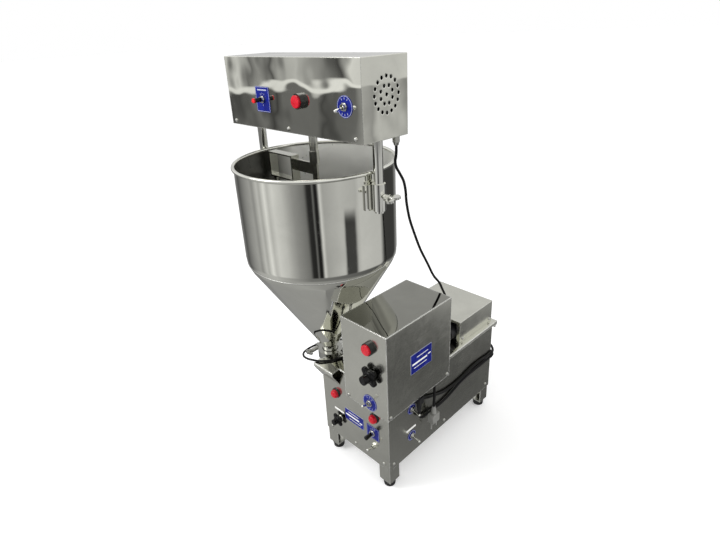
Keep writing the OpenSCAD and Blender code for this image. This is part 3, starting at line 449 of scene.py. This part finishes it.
SIG_PTS = [(106.8, -44, 290), (92, -44.4, 289.6), (74, -48, 286), (50, -52, 283), (28, -54, 283), (8, -57, 283), (-14, -61, 279), (-34, -66, 272),
  (-51, -76, 266), (-62, -90, 263), (-67, -106, 262), (-69, -124, 262), (-67, -142, 263), (-59, -157, 265), (-44, -167, 268),
  (-24, -171, 273), (-4, -171, 279), (14, -166, 282), (28, -155, 283), (38, -141, 283), (44, -126, 283),
  (53, -111, 283), (66, -101, 284), (84, -97, 288.4), (96, -96, 289.8), (106.8, -96, 290)]


def smooth_route(pts, n):
    q = [P(*p) for p in pts]
    m = len(q) - 1
    out = []
    for i in range(m):
        p0, p1, p2, p3 = q[max(i - 1, 0)], q[i], q[i + 1], q[min(i + 2, m)]
        for j in range(n):
            t = j / n
            out.append(0.5 * (2 * p1 + (p2 - p0) * t + (2 * p0 - 5 * p1 + 4 * p2 - p3) * t * t + (3 * p1 - p0 - 3 * p2 + p3) * t ** 3))
    out.append(q[m])
    return out


def cord_tube(name, pts, dia, start, body, steps=8, sides=20):
    """One smooth sheath swept along the route, closed at both ends."""
    q = smooth_route(pts, steps)
    m = len(q)
    verts, faces = [], []
    nrm = Vector(start)
    for i in range(m):
        t = (q[min(i + 1, m - 1)] - q[max(i - 1, 0)]).normalized()
        nrm = (nrm - nrm.dot(t) * t).normalized()
        b = t.cross(nrm)
        for k in range(sides):
            a = 2 * math.pi * k / sides
            verts.append(q[i] + (dia / 2000.0) * (math.cos(a) * nrm + math.sin(a) * b))
    for i in range(m - 1):
        for k in range(sides):
            l = (k + 1) % sides
            faces.append((i * sides + k, (i + 1) * sides + k, (i + 1) * sides + l, i * sides + l))
    faces.append(tuple(range(sides)))
    faces.append(tuple((m - 1) * sides + k for k in range(sides - 1, -1, -1)))
    o = new_mesh(name, verts, faces, M["sheath"], body, 40)
    length = sum((q[i + 1] - q[i]).length for i in range(m - 1))
    return o, q, length


head_cable, head_q, head_len = cord_tube("head_cable_sheath", HEAD_PTS, 5.6, (0, 1, 0), None)
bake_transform(head_cable)
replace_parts(head_cable, "head_cable")

lead, lead_q, lead_len = cord_tube("mains_lead_sheath", LEAD_PTS, 6.5, (1, 0, 0), "root")
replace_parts(lead, "mains_lead")

sig, sig_q, sig_len = cord_tube("signal_cable_sheath", SIG_PTS, 5.2, (0, 0, 1), "root")
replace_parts(sig, "signal_cable")


# ------------------------------------------------------------------ hopper: finely turned skin
HX, HY = -10.0, -106.0
SLOPE, NECK_R, NECK_Z, HOP_R, RIM_Z, FIL, WALL = 0.6016, 19.0, 292.0, 175.5, 772.0, 70.0, 2.0
u_len = math.sqrt(1 + SLOPE * SLOPE)
fil_r = HOP_R - FIL
fil_z = NECK_Z + ((fil_r - NECK_R) / u_len + FIL) * u_len / SLOPE
fil_a = math.atan(SLOPE)


def fillet(r, n=14):
    return [(fil_r + r * math.cos(-fil_a * (1 - i / n)), fil_z + r * math.sin(-fil_a * (1 - i / n))) for i in range(n + 1)]


def up_line(a, b, n):
    return [(a[0] + (b[0] - a[0]) * i / n, a[1] + (b[1] - a[1]) * i / n) for i in range(1, n)]


outer = fillet(FIL)
inner = fillet(FIL - WALL)
prof = [(16.5, 292), (19.0, 292)]
prof += up_line(prof[-1], outer[0], 8) + outer + up_line(outer[-1], (HOP_R, 768), 6)
prof += [(HOP_R + 0.5 + 4 * math.cos(math.radians(a)), RIM_Z + 4 * math.sin(math.radians(a))) for a in range(-104, 242, 15)]
prof += up_line((HOP_R - WALL, 768.5), inner[-1], 6) + inner[::-1] + up_line(inner[0], (16.5, 293.2), 8) + [(16.5, 293.2)]
v, f = lathe(prof, 192, (HX, HY))
hopper = new_mesh("hopper_skin", v, f, M["bowl"], "root", 35)
hopper.data.materials.append(M["bowl_inside"])
axis_at = P(HX, HY, 0)
for poly in hopper.data.polygons:
    c = poly.center
    if poly.normal.x * (c.x - axis_at.x) + poly.normal.y * (c.y - axis_at.y) < 0 and 0.294 < c.z < 0.7685:
        poly.material_index = 1
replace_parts(hopper, "hopper")
a14 = math.radians(14)
bead = [(fil_r + FIL * math.cos(a14) - 0.4 + 1.3 * math.cos(math.radians(t)), fil_z - FIL * math.sin(a14) + 1.3 * math.sin(math.radians(t))) for t in range(0, 360, 30)]
v, f = lathe(bead, 192, (HX, HY))
new_mesh("hopper_weld_bead", v, f, M["machined"], "root", 60)


# ------------------------------------------------------------------ plates: enamel field, white line, bare edge
def plate(name, rings, mats, place, body, hole=None, thick=0.8):
    """Thin plate from nested outlines (outside first), each band with its own material, on a face."""
    me = bpy.data.meshes.new(name)
    bm = bmesh.new()
    loops = []
    top = thick
    for i, ring in enumerate(rings):
        loops.append([bm.verts.new(place(x, y, top)) for x, y in ring])
    back = [bm.verts.new(place(x, y, 0.0)) for x, y in rings[0]]

    def band(a, b, slot):
        n = len(a)
        for k in range(n):
            fc = bm.faces.new((a[k], a[(k + 1) % n], b[(k + 1) % n], b[k]))
            fc.material_index = slot

    band(back, loops[0], mats[0])
    for i in range(len(loops) - 1):
        band(loops[i], loops[i + 1], mats[i])
    if hole is not None:
        inside = [bm.verts.new(place(x, y, 0.0)) for x, y in rings[-1]]
        band(loops[-1], inside, mats[-1])
        band(inside, back, mats[0])
    else:
        fc = bm.faces.new(loops[-1])
        fc.material_index = mats[-1]
        fc = bm.faces.new(back[::-1])
        fc.material_index = mats[0]
    bmesh.ops.recalc_face_normals(bm, faces=bm.faces)
    bm.to_mesh(me)
    bm.free()
    o = bpy.data.objects.new(name, me)
    scene.collection.objects.link(o)
    for m in (M["blue"], M["mark"]):
        me.materials.append(m)
    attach(o, body)
    return o


def on_front(x0, z0, y):
    return lambda u, v, t: P(x0 + u, y - t, z0 + v)


def on_right(y0, z0, x):
    return lambda u, v, t: P(x + t, y0 + u, z0 + v)


def tile(name, w, h, r, place, body, t0=0.8, t1=0.95, mat="white"):
    """A small raised print on a plate: a rounded bar with a chamfered edge."""
    outer_, inner_ = rounded(w, h, r, 4), rounded(w - 0.16, h - 0.16, max(r - 0.08, 0.05), 4)
    n = len(outer_)
    verts = [place(x, y, t0) for x, y in outer_] + [place(x, y, t1 - 0.05) for x, y in outer_] + [place(x, y, t1) for x, y in inner_]
    faces = [(k, (k + 1) % n, n + (k + 1) % n, n + k) for k in range(n)]
    faces += [(n + k, n + (k + 1) % n, 2 * n + (k + 1) % n, 2 * n + k) for k in range(n)]
    faces += [tuple(2 * n + k for k in range(n)), tuple(range(n - 1, -1, -1))]
    o = new_mesh(name, verts, faces, M[mat], body)
    return o


def disc_plate(name, r, place, body):
    return plate(name, [circle(r), circle(r - 0.9), circle(r - 1.7), circle(6.2)], [0, 1, 0], place, body, hole=True)


def ticks(name, r0, r1, angles, place, body, w=1.1):
    """Short radial marks round a switch, as one piece."""
    verts, faces = [], []
    for a in angles:
        c, s = math.cos(math.radians(a)), math.sin(math.radians(a))
        base = len(verts)
        for t in (0.8, 0.95):
            for rr, ww in ((r0, -w / 2), (r1, -w / 2), (r1, w / 2), (r0, w / 2)):
                verts.append(place(rr * c - ww * s, rr * s + ww * c, t))
        faces += [(base, base + 1, base + 2, base + 3), (base + 4, base + 5, base + 6, base + 7)]
        faces += [(base + k, base + (k + 1) % 4, base + 4 + (k + 1) % 4, base + 4 + k) for k in range(4)]
    o = new_mesh(name, verts, faces, M["mark"], body)
    return o


def rect_plate(name, w, h, place, body, hole_r=None):
    if hole_r:
        k = 6
        n = len(rounded(w, h, 1.5, k))
        inner_ = []
        for x, y in rounded(w, h, 1.5, k):
            a = math.atan2(y, x)
            inner_.append((hole_r * math.cos(a), hole_r * math.sin(a)))
        return plate(name, [rounded(w, h, 1.5, k), rounded(w - 1.8, h - 1.8, 1.2, k), rounded(w - 3.2, h - 3.2, 0.9, k), inner_], [0, 1, 0], place, body, hole=True)
    return plate(name, [rounded(w, h, 1.5), rounded(w - 0.8, h - 0.8, 1.2), rounded(w - 2.0, h - 2.0, 0.9)], [1, 0, 0], place, body)


DY, BY, KY, BX, KX = -166.0, -153.0, -169.0, 232.0, 247.0
hp = rect_plate("head_plate_lever", 48, 52, on_front(-92, 902, DY), "head", 6.2)
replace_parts(hp, "head_plates")
disc_plate("head_plate_disc", 20, on_front(161, 904, DY), "head")
ticks("head_disc_marks", 12.5, 16.5, (60, 90, 120, 240, 270, 300), on_front(161, 904, DY), "head")
tile("head_plate_bar", 32, 2.6, 0.6, on_front(-92, 902 + 19, DY), "head", mat="mark")
ticks("head_plate_marks", 10.5, 13.5, (60, 90, 120, 270), on_front(-92, 902, DY), "head", 1.0)

pp = disc_plate("box_plate_disc", 21, on_front(192, 257, KY), "root")
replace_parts(pp, "panel_plates")
ticks("box_disc_marks", 13.0, 17.0, (60, 90, 120, 240, 270, 300), on_front(192, 257, KY), "root")
rect_plate("front_plate_lever", 40, 36, on_front(181, 151, BY), "root", 6.2)
ticks("front_plate_marks", 10.0, 13.0, (60, 90, 120, 270), on_front(181, 151, BY), "root", 1.0)
rect_plate("front_plate_wide", 65, 34, on_front(118.5, 155, BY), "root")
for i, (u, v_, w_, h_) in enumerate(((-6, 0.5, 46, 4.4), (23, -2.5, 9, 3.0), (-2, 9.5, 36, 1.6), (2, -9.5, 40, 1.4))):
    tile("front_plate_bar_%d" % i, w_, h_, 0.6, on_front(118.5 + u, 155 + v_, BY), "root")
rect_plate("side_plate_wide", 74, 51, on_right(-55, 342.5, KX), "root")
for i, (u, v_, w_, h_) in enumerate(((-6, -1.5, 52, 4.6), (28, 1.5, 10, 3.2), (4, 12.5, 40, 1.8), (-4, -12.5, 46, 1.6))):
    tile("side_plate_bar_%d" % i, w_, h_, 0.8, on_right(-55 + u, 342.5 + v_, KX), "root")
for tag, z in (("upper", 200), ("lower", 119)):
    disc_plate("side_plate_" + tag, 14, on_right(-72, z, BX), "root")
    ticks("side_marks_" + tag, 9.6, 12.0, (60, 120, 240, 300), on_right(-72, z, BX), "root", 0.9)
# blank marking strips beside two controls
tile("front_strip", 34, 5.5, 0.8, on_front(64, 149, BY), "root", 0.0, 0.5)
tile("side_strip", 34, 5.5, 0.8, on_right(-74, 141, BX), "root", 0.0, 0.5)


# ------------------------------------------------------------------ star knobs with rounded lobes
def star_outline(ro, rl, n, k):
    """Hub and lobes as one outline, with the corners between them filled in."""
    hub, arm = ro * 0.6, ro - rl
    raw = []
    for i in range(k):
        a = 2 * math.pi * i / k
        r = hub
        for j in range(n):
            d = a - math.radians(45 + 360 * j / n)
            h = arm * math.sin(d)
            if abs(h) < rl and math.cos(d) > 0:
                r = max(r, arm * math.cos(d) + math.sqrt(rl * rl - h * h))
        raw.append(r)
    return [(raw[i - 2] + 2 * raw[i - 1] + 3 * raw[i] + 2 * raw[(i + 1) % k] + raw[(i + 2) % k]) / 9 for i in range(k)]


def knob_mesh(name, place, ro, rl, depth, n, nr, nl, body, k=120):
    star = star_outline(ro, rl, n, k)
    top = depth + nl
    rings = [(4.0, -12), (4.0, 2.4), (ro * 0.55, 2.4), (ro * 0.6, 3.0), (ro * 0.6, 4.6)]
    edge = [(-1.6, 5.0), (-0.7, 5.3), (-0.2, 6.0), (0.0, 7.2), (0.0, depth - 5.2), (-0.25, depth - 3.8), (-0.9, depth - 2.8), (-1.9, depth - 2.2), (-3.2, depth - 2.0)]
    cap = [(ro * 0.56, depth - 0.8), (ro * 0.52, depth), (nr + 1.0, depth), (nr, depth + 0.8), (nr, top - 1.6), (nr - 0.4, top - 0.6), (nr - 1.3, top), (nr * 0.62, top), (nr * 0.56, top - 0.8), (0.2, top - 0.8)]
    verts, faces = [], []

    def ring(rad, t):
        for i in range(k):
            a = 2 * math.pi * i / k
            verts.append(place(rad(i) * math.cos(a), rad(i) * math.sin(a), t))

    for r, t in rings:
        ring(lambda i: r, t)
    for e, t in edge:
        ring(lambda i: max(star[i] + e, ro * 0.58), t)
    for r, t in cap:
        ring(lambda i: r, t)
    m = len(verts) // k
    for j in range(m - 1):
        for i in range(k):
            l = (i + 1) % k
            faces.append((j * k + i, j * k + l, (j + 1) * k + l, (j + 1) * k + i))
    faces.append(tuple(range(k)))
    faces.append(tuple((m - 1) * k + i for i in range(k)))
    o = new_mesh(name, verts, faces, M["black"], body, 38)
    return o


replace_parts(knob_mesh("box_knob_star", on_front(203, 341, KY), 25, 8, 16, 4, 10.5, 15, "box_knob"), "box_knob")
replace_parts(knob_mesh("front_knob_star", on_front(64, 123, BY), 18, 5.8, 13, 4, 7.5, 11, "front_knob"), "front_knob")

# moulded plug: rounded edges
b = NODES["mains_plug"].modifiers.new("edge", "BEVEL")
b.width = 0.0022
b.segments = 3
b.limit_method = "ANGLE"
b.angle_limit = math.radians(50)


# ------------------------------------------------------------------ stage, light, camera
def floor():
    m = Tree("floor_pale").set(Metallic=0.0, Emission_Color=(1, 1, 1, 1), Emission_Strength=0.22)
    cloud = m.noise(m.obj(), 3.0, 3.0, 0.5)
    m.to(m.ramp(cloud, [(0.3, (0.92, 0.92, 0.92)), (0.7, (0.95, 0.95, 0.95))]), "Base Color")
    m.to(m.range(cloud, 0.3, 0.7, 0.75, 0.85), "Roughness")
    me = bpy.data.meshes.new("floor")
    me.from_pydata([(-40, -40, -0.0005), (40, -40, -0.0005), (40, 40, -0.0005), (-40, 40, -0.0005)], [], [(0, 1, 2, 3)])
    o = bpy.data.objects.new("floor", me)
    me.materials.append(m.mat)
    scene.collection.objects.link(o)
    o.visible_glossy = False


floor()

world = bpy.data.worlds.new("studio")
scene.world = world
world.use_nodes = True
wt = world.node_tree
wt.nodes.clear()


def wn(kind):
    return wt.nodes.new(kind)


w_out = wn("ShaderNodeOutputWorld")
w_bg = wn("ShaderNodeBackground")
w_cam = wn("ShaderNodeBackground")
w_cam.inputs["Color"].default_value = (1.0, 1.0, 1.0, 1)
w_mix = wn("ShaderNodeMixShader")
w_lp = wn("ShaderNodeLightPath")
w_tc = wn("ShaderNodeTexCoord")
w_xyz = wn("ShaderNodeSeparateXYZ")
wt.links.new(w_tc.outputs["Generated"], w_xyz.inputs[0])
w_az = wn("ShaderNodeMath")
w_az.operation = "ARCTAN2"
wt.links.new(w_xyz.outputs[1], w_az.inputs[0])
wt.links.new(w_xyz.outputs[0], w_az.inputs[1])
w_t = wn("ShaderNodeMapRange")
w_t.inputs[1].default_value = -math.pi
w_t.inputs[2].default_value = math.pi
wt.links.new(w_az.outputs[0], w_t.inputs[0])


def w_ramp(src, stops):
    n = wn("ShaderNodeValToRGB")
    r = n.color_ramp
    while len(r.elements) < len(stops):
        r.elements.new(0.5)
    for e, (p, c) in zip(r.elements, stops):
        e.position = p
        e.color = (c, c, c, 1.0)
    wt.links.new(src, n.inputs[0])
    return n.outputs["Color"]


# soft panels and dark flags that stand round the machine, by compass angle
def by_angle(stops):
    return w_ramp(w_t.outputs[0], [((a + 180) / 360.0, c) for a, c in stops])


FLAGS = [(-180, 0.10), (-160, 0.30), (-146, 0.42), (-140, 0.33), (-131, 0.62), (-126, 0.48), (-118, 0.88), (-112, 0.58), (-104, 0.76), (-90, 0.62), (-82, 0.46), (-74, 0.33), (-64, 0.25), (-58, 0.20),
         (-54, 0.03), (-48, 0.02), (-47, 0.16), (-45.5, 0.16), (-44.5, 0.015), (-40, 0.02), (-37, 0.78), (-33, 0.44), (-10, 0.58), (14, 0.50), (20, 0.62), (58, 0.58), (66, 0.05), (100, 0.05), (115, 0.30), (150, 0.36), (168, 0.20), (180, 0.10)]
low = by_angle(FLAGS)
bottle = by_angle([(-180, 0), (-6, 0), (-3, 1), (11, 1), (15, 0), (180, 0)])
mid = by_angle([(-180, 0.28), (-155, 0.48), (-120, 0.56), (-90, 0.40), (-60, 0.20), (0, 0.15), (32, 0.12), (52, 0.10), (70, 0.15), (100, 0.22), (140, 0.30), (180, 0.25)])
deep = by_angle([(-180, 0.34), (-90, 0.42), (0, 0.26), (90, 0.24), (180, 0.34)])
high = by_angle([(-180, 0.95), (-72, 0.85), (-29, 0.95), (36, 0.9), (80, 0.95), (110, 0.72), (160, 0.70), (180, 0.95)])
room = by_angle([(-180, 0.5), (-156, 0.45), (-151, 0.08), (-149.6, 0.10), (-149, 0.78), (-148.2, 0.70), (-147.8, 0.14), (-147, 0.34), (-145.4, 0.30), (-144.7, 0.05), (-143.9, 0.10), (-143.3, 0.62), (-141.2, 0.56), (-140.2, 0.20), (-138.9, 0.28),
                 (-138.4, 0.04), (-137.7, 0.07), (-137.2, 0.80), (-133, 0.72), (-110, 0.5), (-60, 0.4), (0, 0.5), (35, 0.62), (43, 0.66), (47, 0.62), (52, 0.7), (90, 0.5), (180, 0.5)])
room_low = by_angle([(-180, 0.2), (-151, 0.30), (-149.4, 0.05), (-148.4, 0.12), (-146.4, 0.19), (-145.4, 0.17), (-144.8, 0.05), (-144.2, 0.16), (-141, 0.17), (-139.6, 0.15), (-139.1, 0.05), (-138.4, 0.13), (-136, 0.16), (-135.2, 0.30), (-110, 0.2), (0, 0.3), (40, 0.52), (44.6, 0.60), (45.4, 0.30), (46.6, 0.34), (47.2, 0.62), (49, 0.52), (49.6, 0.24), (56, 0.5), (110, 0.3), (180, 0.2)])
gleam = by_angle([(-180, 0), (-158, 0.2), (-150, 0.8), (-134, 1), (-122, 0), (180, 0)])


def w_blend(src, a, b, lo, hi):
    r = wn("ShaderNodeMapRange")
    r.interpolation_type = "SMOOTHSTEP"
    r.inputs[1].default_value = lo
    r.inputs[2].default_value = hi
    wt.links.new(src, r.inputs[0])
    x = wn("ShaderNodeMix")
    x.data_type = "RGBA"
    wt.links.new(r.outputs[0], x.inputs[0])
    wt.links.new(a, x.inputs[6])
    wt.links.new(b, x.inputs[7])
    return x.outputs[2]


def w_math(op, x, y):
    n = wn("ShaderNodeMath")
    n.operation = op
    for i, v in enumerate((x, y)):
        if isinstance(v, (int, float)):
            n.inputs[i].default_value = v
        else:
            wt.links.new(v, n.inputs[i])
    return n.outputs[0]


def w_step(src, lo, hi):
    r = wn("ShaderNodeMapRange")
    r.interpolation_type = "SMOOTHSTEP"
    r.inputs[1].default_value = lo
    r.inputs[2].default_value = hi
    wt.links.new(src, r.inputs[0])
    return r.outputs[0]


def w_over(fac, a, value):
    x = wn("ShaderNodeMix")
    x.data_type = "RGBA"
    wt.links.new(fac, x.inputs[0])
    wt.links.new(a, x.inputs[6])
    x.inputs[7].default_value = (value, value, value, 1)
    return x.outputs[2]


# from the ground up: ground, cabinet height, hopper height, head height, sky
z_out = w_xyz.outputs[2]
hop = w_over(w_math("MULTIPLY", bottle, w_math("SUBTRACT", 1.0, w_step(z_out, -0.36, -0.32))), low, 0.06)
col = w_blend(z_out, deep, mid, -0.74, -0.64)
col = w_blend(z_out, col, hop, -0.54, -0.47)
col = w_blend(z_out, col, room_low, -0.25, -0.20)
col = w_blend(z_out, col, room, -0.106, -0.096)
col = w_over(w_math("MULTIPLY", gleam, w_math("MULTIPLY", w_step(z_out, -0.110, -0.103), w_math("SUBTRACT", 1.0, w_step(z_out, -0.098, -0.090)))), col, 0.95)
col = w_blend(z_out, col, high, -0.03, 0.10)
wt.links.new(col, w_bg.inputs["Color"])
w_bg.inputs["Strength"].default_value = 1.0
wt.links.new(w_lp.outputs["Is Camera Ray"], w_mix.inputs[0])
wt.links.new(w_bg.outputs[0], w_mix.inputs[1])
wt.links.new(w_cam.outputs[0], w_mix.inputs[2])
wt.links.new(w_mix.outputs[0], w_out.inputs["Surface"])


def area(name, loc, target, size, power, glossy=True):
    d = bpy.data.lights.new(name, "AREA")
    d.shape = "RECTANGLE"
    d.size, d.size_y = size
    d.energy = power
    o = bpy.data.objects.new(name, d)
    scene.collection.objects.link(o)
    o.location = loc
    o.rotation_mode = "QUATERNION"
    o.rotation_quaternion = (Vector(target) - Vector(loc)).to_track_quat("-Z", "Y")
    o.visible_glossy = glossy
    return o


area("key", (-1.3, -1.9, 2.6), (0, 0, 0.4), (1.6, 1.6), 26)
area("fill", (2.4, 0.6, 2.2), (0, 0, 0.4), (1.6, 1.6), 14, False)

area("into_hopper", (-0.4, -0.9, 0.97), (-0.08, 0.05, 0.73), (0.3, 0.3), 5.0, False)
bpy.data.objects["into_hopper"].visible_camera = False

YAW, PITCH, ROLL = math.radians(46.51), math.radians(23.65), math.radians(-2.95)
fwd = Vector((-math.sin(YAW) * math.cos(PITCH), math.cos(YAW) * math.cos(PITCH), -math.sin(PITCH)))
right = Vector((math.cos(YAW), math.sin(YAW), 0))
up = right.cross(fwd)
r2 = math.cos(ROLL) * right + math.sin(ROLL) * up
u2 = -math.sin(ROLL) * right + math.cos(ROLL) * up
cam_data = bpy.data.cameras.new("camera")
cam = bpy.data.objects.new("camera", cam_data)
scene.collection.objects.link(cam)
cam.matrix_world = Matrix(((r2.x, u2.x, -fwd.x, 0.8275), (r2.y, u2.y, -fwd.y, -0.7865), (r2.z, u2.z, -fwd.z, 1.0346), (0, 0, 0, 1)))
cam_data.sensor_width = 36.0
cam_data.lens = 501.63 * 36.0 / 720.0
cam_data.shift_x = (360 - 358.31) / 720.0
cam_data.shift_y = (245.78 - 270) / 720.0
cam_data.clip_start, cam_data.clip_end = 0.02, 200.0
scene.camera = cam
